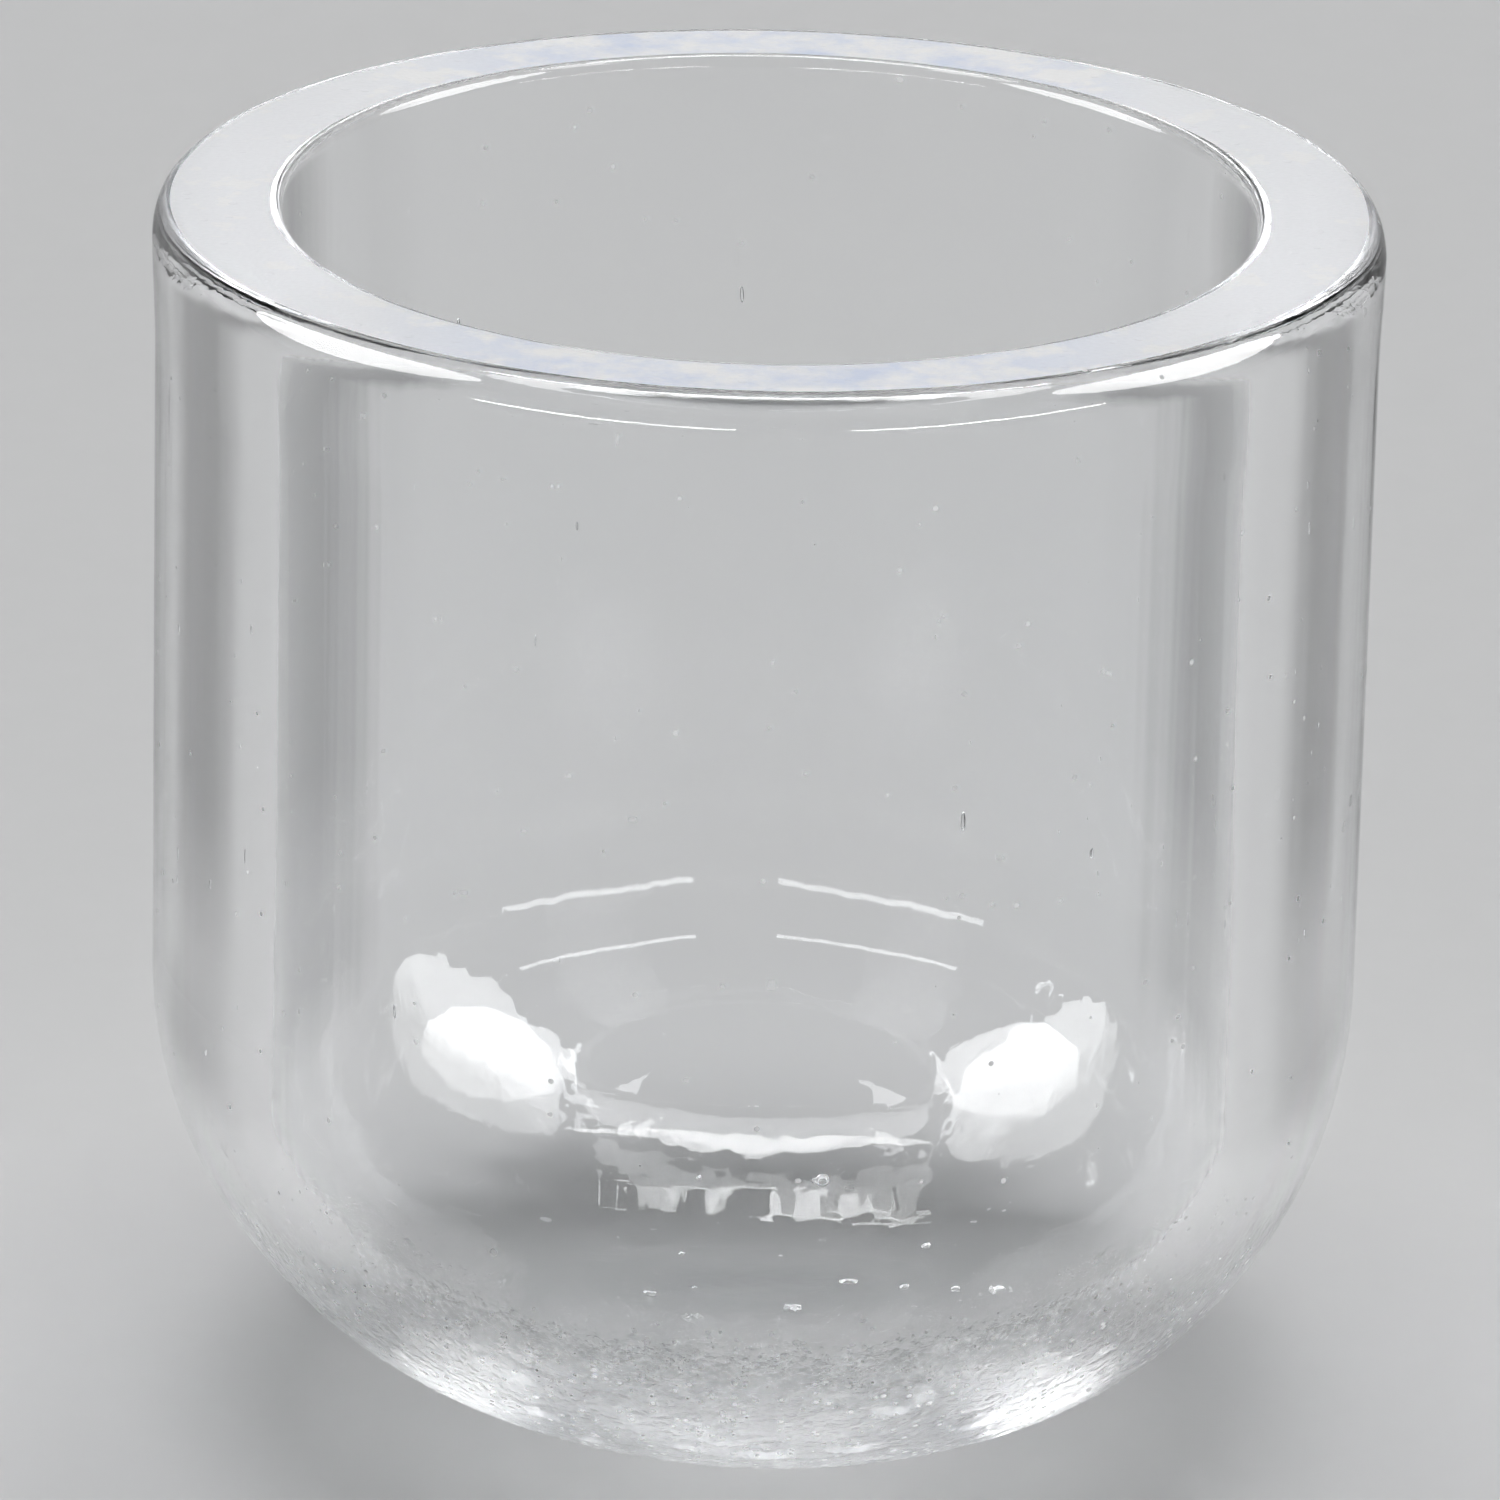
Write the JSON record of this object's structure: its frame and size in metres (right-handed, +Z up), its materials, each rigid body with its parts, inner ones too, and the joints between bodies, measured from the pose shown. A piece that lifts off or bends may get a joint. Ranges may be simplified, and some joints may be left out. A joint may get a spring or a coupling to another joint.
{
  "type": "crystallizing dish",
  "caption": "Small thick-walled clear glass dish with a straight wall, a flat ground rim and a rounded base that stands on a small flat foot.",
  "frame": {"origin": "centre of the flat foot, on the surface that the dish stands on", "axes": "+Z up along the dish's axis, out of its mouth; X and Y are any two directions across it, as it is round"},
  "size_m": [0.025, 0.025, 0.0258],
  "materials": {
    "clear_glass": "clear colourless fused glass, flame polished on both rim edges, matte ground on the rim face, lightly pitted around the foot"
  },
  "bodies": {
    "root": {"glass_dish": "clear_glass"}
  },
  "joints": []
}
